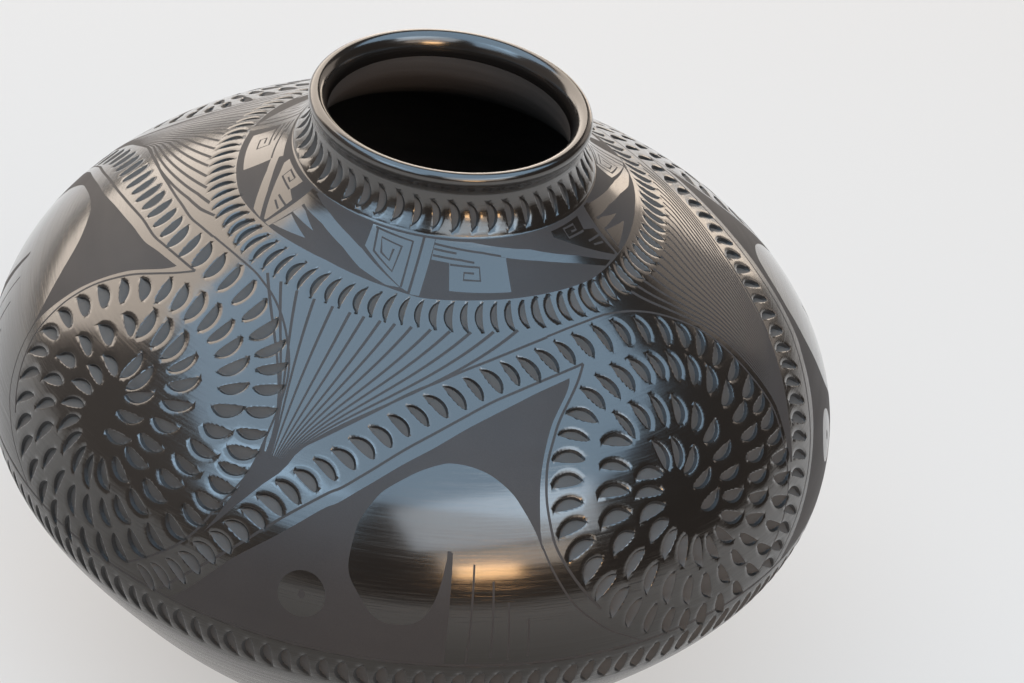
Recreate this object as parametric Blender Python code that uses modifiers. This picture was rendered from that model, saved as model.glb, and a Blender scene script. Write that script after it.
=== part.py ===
"""A wide, low-shouldered clay olla, built up from a moulded base and coils.

Each band of clay that the potter adds is its own turned solid: the moulded base, the coils of the
wall, the neck and the rim. Metres, +Z up, with the origin under the middle of the flat it rests on.
"""

import math

import bpy
import numpy as np

# Wall
WALL_THICKNESS = 0.0045
SEAM_GAP = 0.0003

# Rest and moulded base
REST_RADIUS = 0.0342
BASE_DEPTH = 0.0467
BASE_RADIUS = 0.1093
BASE_LEAN = math.radians(40.3)

# Lower wall, from the moulded base up to the widest circle
LOWER_WALL_RISE = 0.0460
BELLY_RADIUS = 0.135

# Shoulder, from the widest circle up to the ring where the neck begins
SHOULDER_RISE = 0.0879
NECK_RING_RADIUS = 0.0466
NECK_RING_SLOPE = math.radians(49.7)

# Neck, from the ring up to its narrowest circle
NECK_RISE = 0.0116
NECK_WAIST_RADIUS = 0.0419

# Rim, from the neck's narrowest circle up to the flat top of the lip
RIM_RISE = 0.0073
LIP_RADIUS = 0.04365
LIP_WIDTH = 0.00475
LIP_OUTER_ROUND = 0.0018
LIP_INNER_ROUND = 0.0010

# Fullness of the wall's curves: a curve's pull at one end, as a share of the band's rise or width
REST_PULL = 0.38
BASE_PULL = 0.68
LOWER_WALL_PULL = 0.655
BELLY_PULL_BELOW = 0.33
BELLY_PULL_ABOVE = 0.593
NECK_RING_PULL_BELOW = 0.272
NECK_RING_PULL_ABOVE = 0.45
NECK_WAIST_PULL = 0.45

# Bands of clay that each stretch of the wall is built from, seams at even steps along its curve
BASE_BAND_COUNT = 2
LOWER_WALL_BAND_COUNT = 2
SHOULDER_BAND_COUNT = 5

# Smoothness of the solids
TURN_STEPS = 64
CURVE_SAMPLES = 241
BASE_SEGMENTS = 5
COIL_SEGMENTS = 3
MERGE_DISTANCE = 0.00001
SHARP_ANGLE = math.radians(40)

# Clay colours: burnished and smoked black, and the same clay where matte slip covers most of it
BURNISHED_BLACK = (0.022, 0.020, 0.020, 1.0)
SLIPPED_BLACK = (0.050, 0.045, 0.045, 1.0)
BURNISHED_ROUGHNESS = 0.22
SLIPPED_ROUGHNESS = 0.45

# Heights that follow from the rises above
BELLY_HEIGHT = BASE_DEPTH + LOWER_WALL_RISE
NECK_RING_HEIGHT = BELLY_HEIGHT + SHOULDER_RISE
NECK_WAIST_HEIGHT = NECK_RING_HEIGHT + NECK_RISE
TOP_HEIGHT = NECK_WAIST_HEIGHT + RIM_RISE
LIP_INNER_RADIUS = LIP_RADIUS - LIP_WIDTH


def clear_scene():
    """Remove every object, so that the file holds the olla alone."""
    for leftover in list(bpy.data.objects):
        bpy.data.objects.remove(leftover)


def clay(name, colour, roughness):
    """A fired clay finish."""
    material = bpy.data.materials.new(name)
    material.use_nodes = True
    shader = material.node_tree.nodes["Principled BSDF"]
    shader.inputs["Base Color"].default_value = colour
    shader.inputs["Roughness"].default_value = roughness
    shader.inputs["Metallic"].default_value = 0.0
    material.diffuse_color = colour
    return material


def curve(start, start_pull, end_pull, end):
    """Points (radius, height) along a cubic curve, close together."""
    t = np.linspace(0.0, 1.0, CURVE_SAMPLES)[:, None]
    points = [np.array(p) for p in (start, start_pull, end_pull, end)]
    near = (1 - t) ** 3 * points[0] + 3 * (1 - t) ** 2 * t * points[1]
    far = 3 * (1 - t) * t**2 * points[2] + t**3 * points[3]
    return near + far


def arc(centre, radius, start_angle, end_angle):
    """Points (radius, height) along a circular arc."""
    angles = np.linspace(start_angle, end_angle, COIL_SEGMENTS + 1)
    turned = np.stack([np.cos(angles), np.sin(angles)], axis=1)
    return np.array(centre) + radius * turned


def shared_out(line, count):
    """A curve cut into stretches that meet end to end, one for each band."""
    ends = np.linspace(0, len(line) - 1, count + 1).astype(int)
    return [line[first : last + 1] for first, last in zip(ends[:-1], ends[1:])]


def wall_curves():
    """The outer lines of the base, lower wall, shoulder and neck, as close-set points."""
    rest = np.array((REST_RADIUS, 0.0))
    base_edge = np.array((BASE_RADIUS, BASE_DEPTH))
    belly = np.array((BELLY_RADIUS, BELLY_HEIGHT))
    ring = np.array((NECK_RING_RADIUS, NECK_RING_HEIGHT))
    waist = np.array((NECK_WAIST_RADIUS, NECK_WAIST_HEIGHT))

    outward = np.array((1.0, 0.0))
    upward = np.array((0.0, 1.0))
    along_base = np.array((math.sin(BASE_LEAN), math.cos(BASE_LEAN)))
    up_neck = np.array((-math.cos(NECK_RING_SLOPE), math.sin(NECK_RING_SLOPE)))

    base = curve(
        rest,
        rest + REST_PULL * (BASE_RADIUS - REST_RADIUS) * outward,
        base_edge - BASE_PULL * BASE_DEPTH * along_base,
        base_edge,
    )
    lower_wall = curve(
        base_edge,
        base_edge + LOWER_WALL_PULL * LOWER_WALL_RISE * along_base,
        belly - BELLY_PULL_BELOW * LOWER_WALL_RISE * upward,
        belly,
    )
    shoulder = curve(
        belly,
        belly + BELLY_PULL_ABOVE * SHOULDER_RISE * upward,
        ring - NECK_RING_PULL_BELOW * SHOULDER_RISE * up_neck,
        ring,
    )
    neck = curve(
        ring,
        ring + NECK_RING_PULL_ABOVE * NECK_RISE * up_neck,
        waist - NECK_WAIST_PULL * NECK_RISE * upward,
        waist,
    )
    return base, lower_wall, shoulder, neck


def band_lines(outer, segments, gap_below, gap_above):
    """Outer and inner lines of a band, cut back at its seams and thinned to a few even segments."""
    steps = np.diff(outer, axis=0)
    along = np.concatenate([[0.0], np.cumsum(np.hypot(steps[:, 0], steps[:, 1]))])
    slope = np.gradient(outer, along, axis=0)
    slope /= np.linalg.norm(slope, axis=1)[:, None]
    inner = outer + WALL_THICKNESS * np.stack([-slope[:, 1], slope[:, 0]], axis=1)
    kept = np.linspace(gap_below, along[-1] - gap_above, segments + 1)
    lines = []
    for line in (outer, inner):
        lines.append(np.stack([np.interp(kept, along, line[:, k]) for k in (0, 1)], axis=1))
    return lines


def turned(name, profile, closed, material, collection):
    """One solid turned about Z from a profile that runs down its outer side."""
    edges = [(i, i + 1) for i in range(len(profile) - 1)]
    if closed:
        edges.append((len(profile) - 1, 0))
    outline = bpy.data.meshes.new(name + "_outline")
    outline.from_pydata([(radius, 0.0, height) for radius, height in profile], edges, [])
    guide = bpy.data.objects.new(name + "_guide", outline)
    bpy.context.scene.collection.objects.link(guide)

    screw = guide.modifiers.new("Turn", "SCREW")
    screw.axis = "Z"
    screw.angle = 2 * math.pi
    screw.steps = TURN_STEPS
    screw.render_steps = TURN_STEPS
    screw.use_merge_vertices = True
    screw.merge_threshold = MERGE_DISTANCE

    graph = bpy.context.evaluated_depsgraph_get()
    mesh = bpy.data.meshes.new_from_object(guide.evaluated_get(graph))
    mesh.name = name
    bpy.data.objects.remove(guide)
    mesh.shade_smooth()
    mesh.set_sharp_from_angle(angle=SHARP_ANGLE)
    mesh.materials.clear()
    mesh.materials.append(material)
    solid = bpy.data.objects.new(name, mesh)
    collection.objects.link(solid)
    return solid


def coil(name, outer, material, collection):
    """A ring of wall between two seams."""
    outer_line, inner_line = band_lines(outer, COIL_SEGMENTS, SEAM_GAP / 2, SEAM_GAP / 2)
    profile = np.concatenate([outer_line[::-1], inner_line])
    return turned(name, profile, True, material, collection)


def moulded_base(outer, material, collection):
    """The bowl pressed in a mould: a flat to rest on, and a wall that turns up to the first seam."""
    outer_line, inner_line = band_lines(outer, BASE_SEGMENTS, 0.0, SEAM_GAP / 2)
    floor_middle = [(0.0, WALL_THICKNESS)]
    rest_middle = [(0.0, 0.0)]
    profile = np.concatenate([floor_middle, inner_line, outer_line[::-1], rest_middle])
    return turned("moulded_base", profile, False, material, collection)


def rim_coil(material, collection):
    """The last coil: it flares from the neck's waist to a lip with a flat top and rounded edges."""
    foot = NECK_WAIST_HEIGHT + SEAM_GAP / 2
    outer_edge = (LIP_RADIUS, TOP_HEIGHT - LIP_OUTER_ROUND)
    inner_edge = (LIP_INNER_RADIUS, TOP_HEIGHT - LIP_INNER_ROUND)
    waist_inner_radius = NECK_WAIST_RADIUS - WALL_THICKNESS

    def flare(radius, edge):
        """A soft S from the waist at this radius up to an edge of the lip."""
        middle = (foot + edge[1]) / 2
        line = curve((radius, foot), (radius, middle), (edge[0], middle), edge)
        chosen = np.linspace(0, CURVE_SAMPLES - 1, COIL_SEGMENTS + 1).astype(int)
        return line[chosen]

    outer_round = arc(
        (LIP_RADIUS - LIP_OUTER_ROUND, TOP_HEIGHT - LIP_OUTER_ROUND),
        LIP_OUTER_ROUND,
        math.pi / 2,
        0.0,
    )
    inner_round = arc(
        (LIP_INNER_RADIUS + LIP_INNER_ROUND, TOP_HEIGHT - LIP_INNER_ROUND),
        LIP_INNER_ROUND,
        math.pi,
        math.pi / 2,
    )
    outer_flare = flare(NECK_WAIST_RADIUS, outer_edge)[::-1][1:]
    inner_flare = flare(waist_inner_radius, inner_edge)[:-1]
    profile = np.concatenate([outer_round, outer_flare, inner_flare, inner_round])
    return turned("rim_coil", profile, True, material, collection)


clear_scene()
olla = bpy.data.collections.new("pottery_olla")
bpy.context.scene.collection.children.link(olla)

base_curve, lower_wall_curve, shoulder_curve, neck_curve = wall_curves()
base_bands = shared_out(base_curve, BASE_BAND_COUNT)
lower_wall_bands = base_bands[1:] + shared_out(lower_wall_curve, LOWER_WALL_BAND_COUNT)
shoulder_bands = shared_out(shoulder_curve, SHOULDER_BAND_COUNT)

moulded_base(base_bands[0], clay("base_clay", BURNISHED_BLACK, BURNISHED_ROUGHNESS), olla)

for number, band in enumerate(lower_wall_bands, start=1):
    name = f"lower_wall_coil_{number}"
    coil(name, band, clay(name + "_clay", BURNISHED_BLACK, BURNISHED_ROUGHNESS), olla)

for number, band in enumerate(shoulder_bands, start=1):
    name = f"shoulder_coil_{number}"
    coil(name, band, clay(name + "_clay", SLIPPED_BLACK, SLIPPED_ROUGHNESS), olla)

coil("neck_coil", neck_curve, clay("neck_clay", BURNISHED_BLACK, BURNISHED_ROUGHNESS), olla)
rim_coil(clay("rim_clay", BURNISHED_BLACK, BURNISHED_ROUGHNESS), olla)
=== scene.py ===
import math

import bpy
import numpy as np
from mathutils import Matrix, Vector
from mathutils.geometry import delaunay_2d_cdt


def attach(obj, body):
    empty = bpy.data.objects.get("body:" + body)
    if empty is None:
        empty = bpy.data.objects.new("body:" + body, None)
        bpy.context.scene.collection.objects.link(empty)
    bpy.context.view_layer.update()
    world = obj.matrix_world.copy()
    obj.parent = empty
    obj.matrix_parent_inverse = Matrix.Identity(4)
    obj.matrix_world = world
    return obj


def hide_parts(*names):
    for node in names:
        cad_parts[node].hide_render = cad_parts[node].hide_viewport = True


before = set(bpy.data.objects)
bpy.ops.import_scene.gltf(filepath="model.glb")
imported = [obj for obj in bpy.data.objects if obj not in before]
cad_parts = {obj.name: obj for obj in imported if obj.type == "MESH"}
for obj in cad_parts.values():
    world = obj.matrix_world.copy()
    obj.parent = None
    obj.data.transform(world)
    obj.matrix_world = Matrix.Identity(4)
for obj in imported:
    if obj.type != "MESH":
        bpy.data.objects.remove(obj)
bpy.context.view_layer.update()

# The line of the wall
# The olla is pressed in a bowl mould, raised with coils and scraped to one smooth line, from the neck's
# waist down to the flat that it rests on. Millimetres; "run" is the way along the line from the neck ring.
WALL_THICKNESS = 4.5
REST_RADIUS = 34.2
BASE_DEPTH = 46.7
BASE_RADIUS = 109.3
BASE_LEAN = math.radians(40.3)
LOWER_WALL_RISE = 46.0
BELLY_RADIUS = 135.0
SHOULDER_RISE = 87.9
NECK_RING_RADIUS = 46.6
NECK_RING_SLOPE = math.radians(49.7)
NECK_RISE = 11.6
NECK_WAIST_RADIUS = 41.9
BELLY_HEIGHT = BASE_DEPTH + LOWER_WALL_RISE
RING_HEIGHT = BELLY_HEIGHT + SHOULDER_RISE
WAIST_HEIGHT = RING_HEIGHT + NECK_RISE

# Fullness of the wall's curves: the pull at one end, as a share of the stretch's rise or width
REST_PULL = 0.38
BASE_PULL = 0.68
LOWER_WALL_PULL = 0.655
BELLY_PULL_BELOW = 0.33
BELLY_PULL_ABOVE = 0.593
NECK_RING_PULL_BELOW = 0.272
NECK_RING_PULL_ABOVE = 0.45
NECK_WAIST_PULL = 0.45
CURVE_POINTS = 361


def bezier(start, start_pull, end_pull, end, count):
    """Points along a cubic curve."""
    t = np.linspace(0, 1, count)[:, None]
    a, b, c, d = (np.array(point, float) for point in (start, start_pull, end_pull, end))
    return (1 - t) ** 3 * a + 3 * (1 - t) ** 2 * t * b + 3 * (1 - t) * t**2 * c + t**3 * d


def unit(ways):
    """The same ways, each of length one."""
    return ways / np.linalg.norm(ways, axis=-1, keepdims=True)


def wall_line():
    """Points (radius, height) of the outer line, from the neck's waist down to the rest."""
    rest = np.array((REST_RADIUS, 0))
    base_edge = np.array((BASE_RADIUS, BASE_DEPTH))
    belly = np.array((BELLY_RADIUS, BELLY_HEIGHT))
    ring = np.array((NECK_RING_RADIUS, RING_HEIGHT))
    waist = np.array((NECK_WAIST_RADIUS, WAIST_HEIGHT))
    outward = np.array((1, 0))
    upward = np.array((0, 1))
    along_base = np.array((math.sin(BASE_LEAN), math.cos(BASE_LEAN)))
    up_neck = np.array((-math.cos(NECK_RING_SLOPE), math.sin(NECK_RING_SLOPE)))
    neck = (
        waist,
        waist - NECK_WAIST_PULL * NECK_RISE * upward,
        ring + NECK_RING_PULL_ABOVE * NECK_RISE * up_neck,
        ring,
    )
    shoulder = (
        ring,
        ring - NECK_RING_PULL_BELOW * SHOULDER_RISE * up_neck,
        belly + BELLY_PULL_ABOVE * SHOULDER_RISE * upward,
        belly,
    )
    lower_wall = (
        belly,
        belly - BELLY_PULL_BELOW * LOWER_WALL_RISE * upward,
        base_edge + LOWER_WALL_PULL * LOWER_WALL_RISE * along_base,
        base_edge,
    )
    base = (
        base_edge,
        base_edge - BASE_PULL * BASE_DEPTH * along_base,
        rest + REST_PULL * (BASE_RADIUS - REST_RADIUS) * outward,
        rest,
    )
    lines = [bezier(*stretch, CURVE_POINTS) for stretch in (neck, shoulder, lower_wall, base)]
    return np.concatenate([lines[0]] + [line[1:] for line in lines[1:]])


wall = wall_line()
leg_lengths = np.hypot(*np.diff(wall, axis=0).T)
leg_radii = (wall[1:, 0] + wall[:-1, 0]) / 2
run = np.concatenate([[0], np.cumsum(leg_lengths)])
run -= run[CURVE_POINTS - 1]
spread = np.concatenate([[0], np.cumsum(leg_lengths / leg_radii)])
spread -= spread[CURVE_POINTS - 1]
way_down = unit(np.gradient(wall, run, axis=0))
NECK_TOP = run[0]
FOOT = run[-1]


def radius_at(s):
    """The pot's radius at a run."""
    return np.interp(s, run, wall[:, 0])


def flat(points):
    """(degrees round the pot, run) as a place on the flat sheet, where every mark keeps its true shape."""
    points = np.asarray(points, float)
    return np.stack([np.radians(points[..., 0]), -np.interp(points[..., 1], run, spread)], -1)


def run_of(y):
    """The run of a height on the flat sheet."""
    return np.interp(-np.asarray(y), spread, run)


# The clay and its finishes
# One dark clay, smoked black in the firing. Most of it is rubbed with a stone until it shines, the slip
# that is painted over the shine stays matte, and a gouge shows the bare, unrubbed clay of its floor. The
# steep side of a gouge is coloured near black as painted shade.
class Wire:
    """A socket in a node tree, so that sums on node values are written as sums."""

    def __init__(self, bench, socket):
        self.bench = bench
        self.socket = socket

    def __add__(self, other):
        return self.bench.sum("ADD", self, other)

    __radd__ = __add__

    def __sub__(self, other):
        return self.bench.sum("SUBTRACT", self, other)

    def __rsub__(self, other):
        return self.bench.sum("SUBTRACT", other, self)

    def __mul__(self, other):
        return self.bench.sum("MULTIPLY", self, other)

    __rmul__ = __mul__

    def also(self, name):
        """Another output of the same node."""
        return Wire(self.bench, self.socket.node.outputs[name])


class Bench:
    """A node tree being put together."""

    def __init__(self, tree):
        self.tree = tree

    def node(self, kind, settings=None, sockets=None, out=0):
        """A node of this type with its settings and its sockets' values or links."""
        made = self.tree.nodes.new(kind)
        for name, value in (settings or {}).items():
            setattr(made, name, value)
        for name, value in (sockets or {}).items():
            if isinstance(value, Wire):
                self.tree.links.new(value.socket, made.inputs[name])
            else:
                made.inputs[name].default_value = value
        return Wire(self, made.outputs[out]) if len(made.outputs) else made

    def sum(self, operation, a, b):
        """One Math node."""
        return self.node("ShaderNodeMath", {"operation": operation}, {0: a, 1: b})

    def mixed(self, share, a, b):
        """Two colours mixed."""
        return self.node("ShaderNodeMix", {"data_type": "RGBA"}, {0: share, 6: a, 7: b}, out=2)

    def feed(self, wire, socket):
        """Link a wire to a socket of a node that is already there."""
        self.tree.links.new(wire.socket, socket)


def new_finish(name, sheen_index):
    """A material with this index of refraction: itself, its bench, its shader and the place on a piece."""
    material = bpy.data.materials.new(name)
    material.use_nodes = True
    bench = Bench(material.node_tree)
    shader = material.node_tree.nodes["Principled BSDF"]
    shader.inputs["IOR"].default_value = sheen_index
    place = bench.node("ShaderNodeTexCoord", out="Object")
    return material, bench, shader, place


def noise(bench, place, scale, detail, squeezed=(1, 1, 1)):
    """Cloudy noise, fine where the scale is high, squeezed this many times along each axis."""
    spot = bench.node("ShaderNodeMapping", {"vector_type": "POINT"}, {"Vector": place, "Scale": squeezed})
    return bench.node("ShaderNodeTexNoise", {}, {"Vector": spot, "Scale": scale, "Detail": detail})


def bumped(bench, shader, height, strength, distance):
    """Give a finish its small unevenness, this many metres deep."""
    bump = bench.node("ShaderNodeBump", {}, {"Height": height, "Strength": strength, "Distance": distance})
    bench.feed(bump, shader.inputs["Normal"])


def burnished_black():
    """Clay rubbed round the pot with a stone, under a hard gloss that fades out toward the base."""
    dark = (0.0080, 0.0062, 0.0052, 1)
    light = (0.0175, 0.0130, 0.0100, 1)
    warm_sheen = (1.0, 0.88, 0.76, 1)
    gloss_starts = 0.084
    gloss_full = 0.126
    material, bench, shader, place = new_finish("burnished_black", sheen_index=1.5)
    shader.inputs["Specular Tint"].default_value = warm_sheen
    shader.inputs["Coat IOR"].default_value = 1.72
    shader.inputs["Coat Roughness"].default_value = 0.14
    level = bench.node("ShaderNodeSeparateXYZ", {}, {"Vector": place}, out="Z")
    gloss = bench.node(
        "ShaderNodeMapRange",
        {"interpolation_type": "SMOOTHSTEP"},
        {"Value": level, "From Min": gloss_starts, "From Max": gloss_full, "To Min": 0.0, "To Max": 1.0},
    )
    bench.feed(gloss, shader.inputs["Coat Weight"])
    strokes = noise(bench, place, scale=9.0, detail=4.0, squeezed=(1.2, 1.2, 34.0))
    fine_strokes = noise(bench, place, scale=60.0, detail=3.0, squeezed=(1.0, 1.0, 30.0))
    clouds = noise(bench, place, scale=22.0, detail=3.0)
    bench.feed(bench.mixed(clouds * 0.7, dark, light), shader.inputs["Base Color"])
    bench.feed(0.08 + strokes * 0.13 + fine_strokes * 0.09, shader.inputs["Roughness"])
    bumped(bench, shader, strokes * 0.7 + fine_strokes * 0.3, strength=0.6, distance=0.0005)
    return material


def matte_slip():
    """Thin slip, brushed on and never rubbed: a fine grain with soft brush marks."""
    dark = (0.035, 0.027, 0.0230, 1)
    light = (0.072, 0.056, 0.048, 1)
    material, bench, shader, place = new_finish("matte_slip", sheen_index=1.4)
    brush = noise(bench, place, scale=30.0, detail=4.0, squeezed=(1.0, 1.0, 9.0))
    grain = noise(bench, place, scale=2600.0, detail=2.0)
    clouds = noise(bench, place, scale=45.0, detail=4.0)
    bench.feed(bench.mixed(grain * 0.6 + clouds * 0.5 - 0.1, dark, light), shader.inputs["Base Color"])
    bench.feed(0.42 + brush * 0.16 + grain * 0.12, shader.inputs["Roughness"])
    bumped(bench, shader, grain * 0.5 + brush * 0.5, strength=0.5, distance=0.0001)
    return material


def cut_clay():
    """The floor of a gouge: bare clay, a little lighter than the burnish, with the tool's scrape in it."""
    dark = (0.046, 0.037, 0.031, 1)
    light = (0.118, 0.098, 0.083, 1)
    material, bench, shader, place = new_finish("cut_clay", sheen_index=1.45)
    scraped = noise(bench, place, scale=60.0, detail=4.0, squeezed=(1.0, 1.0, 3.0))
    grain = noise(bench, place, scale=2200.0, detail=2.0)
    bench.feed(bench.mixed(scraped * 0.8 + grain * 0.3, dark, light), shader.inputs["Base Color"])
    bench.feed(0.58 + grain * 0.25, shader.inputs["Roughness"])
    bumped(bench, shader, scraped * 0.6 + grain * 0.4, strength=0.6, distance=0.0002)
    return material


def cut_edge_painted_shade():
    """The steep side of a gouge, coloured near black as painted shade for the shadow that falls on it."""
    dark = (0.006, 0.005, 0.004, 1)
    light = (0.022, 0.017, 0.014, 1)
    material, bench, shader, place = new_finish("cut_edge_painted_shade", sheen_index=1.45)
    scraped = noise(bench, place, scale=400.0, detail=3.0)
    bench.feed(bench.mixed(scraped, dark, light), shader.inputs["Base Color"])
    bench.feed(0.45 + scraped * 0.25, shader.inputs["Roughness"])
    bumped(bench, shader, scraped, strength=0.5, distance=0.0001)
    return material


def inside_clay():
    """The inside of the wall, scraped round and left bare."""
    dark = (0.034, 0.026, 0.021, 1)
    light = (0.105, 0.080, 0.064, 1)
    material, bench, shader, place = new_finish("inside_clay", sheen_index=1.5)
    scraped = noise(bench, place, scale=14.0, detail=5.0, squeezed=(1.0, 1.0, 14.0))
    grain = noise(bench, place, scale=1300.0, detail=2.0)
    bench.feed(bench.mixed(scraped * 0.9 + grain * 0.2, dark, light), shader.inputs["Base Color"])
    bench.feed(0.45 + scraped * 0.2 + grain * 0.15, shader.inputs["Roughness"])
    bumped(bench, shader, scraped * 0.8 + grain * 0.2, strength=0.6, distance=0.0005)
    return material


FINISHES = [burnished_black(), matte_slip(), cut_clay(), cut_edge_painted_shade(), inside_clay()]
FINISH_LABELS = ("Burnished", "Slip", "Cut", "Cut edge painted shade", "Inside")
BURNISHED, SLIP, CUT, PAINTED_SHADE_EDGE, INSIDE = range(5)

# Gouges
# Each is one push of a small round-ended tool into leather-hard clay: steep where the tool stopped, a floor
# that rises back to where it came from, and a rounded lip where the burnishing stone rode over the edge.

# The four rings of the front disc from the outside in, each gouge by its turn in degrees and its run
RING_1 = [
    (-66, 43), (-61.5, 41), (-57, 39.5), (-52, 39), (-46.5, 38.5), (-41, 39), (-36, 42), (-31, 46),
    (-27.5, 50.5), (-25.5, 55.5), (-24, 62), (-23.5, 69), (-23, 77), (-23.3, 82.5), (-23.5, 88),
    (-23.9, 93.5), (-25, 100), (-26, 105), (-28, 111), (-30.5, 117), (-33, 122), (-35.3, 127),
    (-38, 131), (-41.5, 133), (-44.8, 134), (-48, 132.5), (-50.8, 129.5), (-54, 126), (-57, 122),
    (-59, 117), (-61, 111), (-62.7, 105), (-64.2, 98.5), (-65, 92), (-65, 85.5), (-64.5, 78.5),
    (-63.2, 71.5), (-61.5, 65.3), (-58.5, 60),
]
RING_2 = [
    (-55, 55.5), (-51, 53), (-47, 52), (-42.5, 52), (-38.5, 53), (-35, 56), (-31.7, 60.5), (-29.5, 66),
    (-28.4, 73), (-28.2, 80), (-28.8, 87), (-30, 93), (-31.3, 99), (-32.7, 104.5), (-34.3, 110),
    (-36.4, 115), (-38.5, 119), (-41.5, 122), (-44.8, 123), (-48, 121.5), (-51.3, 117.5),
    (-54.3, 112.5), (-56.5, 106), (-57.9, 99), (-58.3, 91.5), (-57.5, 84), (-56, 77), (-54, 70),
]
RING_3 = [
    (-51.3, 66), (-47.7, 64.5), (-43.5, 65), (-39.9, 67.5), (-37.3, 72.5), (-36, 79), (-36, 86),
    (-36.5, 93), (-37.3, 99), (-38.7, 105), (-41, 109.5), (-43.5, 111.2), (-46, 110.3), (-48.5, 107.5),
    (-50.8, 104), (-52, 98.5), (-52.3, 92.5), (-52, 87), (-50.6, 82),
]
RING_4 = [
    (-47.2, 78), (-44, 78), (-42.3, 83), (-41.8, 90), (-41.8, 97),
]

# The rows along the front panel's band and along the right panel's
BAND_ROW = [
    (-121, 131), (-118.6, 127), (-116.5, 122.5), (-114.8, 117.5), (-113, 112), (-111.2, 107.3),
    (-109.5, 102), (-108, 97), (-106.4, 92), (-104.9, 88), (-103.1, 83.8), (-101.2, 79.7), (-99, 75.6),
    (-96.8, 71.4), (-94.6, 67.4), (-90, 60), (-85, 54.4), (-80, 49.8), (-75, 46.3), (-70, 43.8),
    (-66, 42.4),
]
BAND_ROW_RIGHT = [
    (-31, 130), (-29.3, 126), (-27.5, 121.5), (-25, 116.5), (-23.5, 113), (-22, 110), (-20.5, 107),
    (-19, 103), (-17, 99), (-15, 95), (-13, 91), (-11, 87), (-9, 84), (-7, 79.5), (-5, 76), (-3, 72),
    (-1.5, 69), (1.5, 65), (4, 62), (7, 58), (10, 55.5), (15, 52), (20, 48.5), (24, 46.0), (28.2, 43),
]

# The pitch of the gouges in a band, in millimetres
BAND_PITCH = 6.2
BAND_PITCH_RIGHT = 5.9


# Marks start to drift to the left of this turn, fully so after these degrees, and below this run
DRIFT_TURN = -75
DRIFT_GROWS_OVER = 30
DRIFT_RUN = 85


def stretched(drawn, laid_out, drift=0.0):
    """A way to lay the front panel's marks elsewhere round the pot, where the carver set it out by eye.

    Turns that are drawn at the first list fall on the second, and low marks on the left side drift.
    """

    def lay(points):
        points = np.array(points, float)
        turns = np.interp(points[..., 0], drawn, laid_out)
        leftward = np.clip((DRIFT_TURN - points[..., 0]) / DRIFT_GROWS_OVER, 0, 1)
        low = leftward * np.maximum(points[..., 1] - DRIFT_RUN, 0)
        return np.stack([turns + drift * low, points[..., 1]], -1)

    return lay


FRONT = stretched([-150, 0], [-150, 0])
RIGHT = stretched([-150, -90, 0], [-53.5, 6.5, 88.0], -0.14)
BACK = stretched([-150, 0], [37.7, 167.6])
LEFT = stretched(
    [-150, -121, -97, -82, -73, -69.5, -65, -54.3, -24, 0],
    [-241, -214, -197.5, -178.8, -167, -160.4, -156, -145, -114.4, -91.5],
)
PANELS = (FRONT, RIGHT, BACK, LEFT)

# The points of a mark's front and back, and how far its loops lie from its outline: the lip, the foot of
# the steep side, and the floor round its spine
FRONT_POINTS = 11
BACK_POINTS = 8
LIP_WIDTH = 0.5
LIP_WIDENS = 1.0
LIP_WIDE_SHARES = np.array([1.0] * 11 + [0.5] + [0.0] * 4 + [0.5])
FOOT_WIDTH = 0.62
FLOOR_WIDTH = 1.25
SPINE_TOP = 0.62
SPINE_BOTTOM = 0.72


def mark(front, back):
    """A tool mark in millimetres: its loops of points, and the front and back of its outline.

    X is the way the tool was pushed, and the front is the steep side, where it stopped.
    """
    front = bezier(*front, FRONT_POINTS)
    back = bezier(*back, BACK_POINTS)
    outline = np.concatenate([front[:-1], back[:-1]])
    along = unit(np.roll(outline, -1, 0) - np.roll(outline, 1, 0))
    outward = np.stack([-along[:, 1], along[:, 0]], 1)
    lip = outline + outward * (LIP_WIDTH + LIP_WIDENS * LIP_WIDE_SHARES)[:, None]
    top = outline[:, 1].max() * SPINE_TOP
    bottom = outline[:, 1].min() * SPINE_BOTTOM
    spine = np.stack([np.full(len(outline), outline[:, 0].mean()), np.clip(outline[:, 1], bottom, top)], 1)
    gap = spine - outline
    size = np.linalg.norm(gap, axis=1)[:, None]
    foot = outline + gap / size * np.minimum(FOOT_WIDTH, 0.5 * size)
    floor = outline + gap / size * np.minimum(FLOOR_WIDTH, 0.75 * size)
    return {"front": front, "back": back, "loops": [lip, outline, foot, floor]}


HALF_MOON = mark(
    [(-2.2, 4.6), (1.1, 4.5), (4.1, -1.0), (0.6, -4.7)],
    [(0.6, -4.7), (-0.7, -5.2), (-1.5, -0.5), (-2.2, 4.6)],
)
CRESCENT = mark(
    [(-1.9, 4.8), (2.6, 3.2), (3.0, -2.4), (-1.3, -4.7)],
    [(-1.3, -4.7), (-0.9, -2.6), (-0.7, 2.0), (-1.9, 4.8)],
)


def directions(path):
    """The heading of a row at each of its points on the flat sheet, in radians."""
    step = np.gradient(path, axis=0)
    return np.arctan2(step[:, 1], step[:, 0])


def eased(points):
    """A row with the jitter of reading it off smoothed a little."""
    points = np.array(points, float)
    smooth = points.copy()
    smooth[1:-1] = 0.25 * points[:-2] + 0.5 * points[1:-1] + 0.25 * points[2:]
    return smooth


def spaced(points, pitch):
    """The same row with its points a real pitch apart, short of its last one."""
    points = np.asarray(points, float)
    path = flat(points)
    radii = radius_at(run_of(path[:, 1]))
    legs = np.hypot(*np.diff(path, axis=0).T) * (radii[1:] + radii[:-1]) / 2
    along = np.concatenate([[0], np.cumsum(legs)])
    at = np.linspace(0, along[-1], int(round(along[-1] / pitch)) + 1)
    return np.stack([np.interp(at, along, points[:, k]) for k in (0, 1)], 1)[:-1]


def ring_row(s, count):
    """The places of a row of marks right round the pot, on the flat sheet."""
    turns = np.arange(count) * 360.0 / count - 180.0
    return flat(np.stack([turns, np.full(count, s)], 1))


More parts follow.
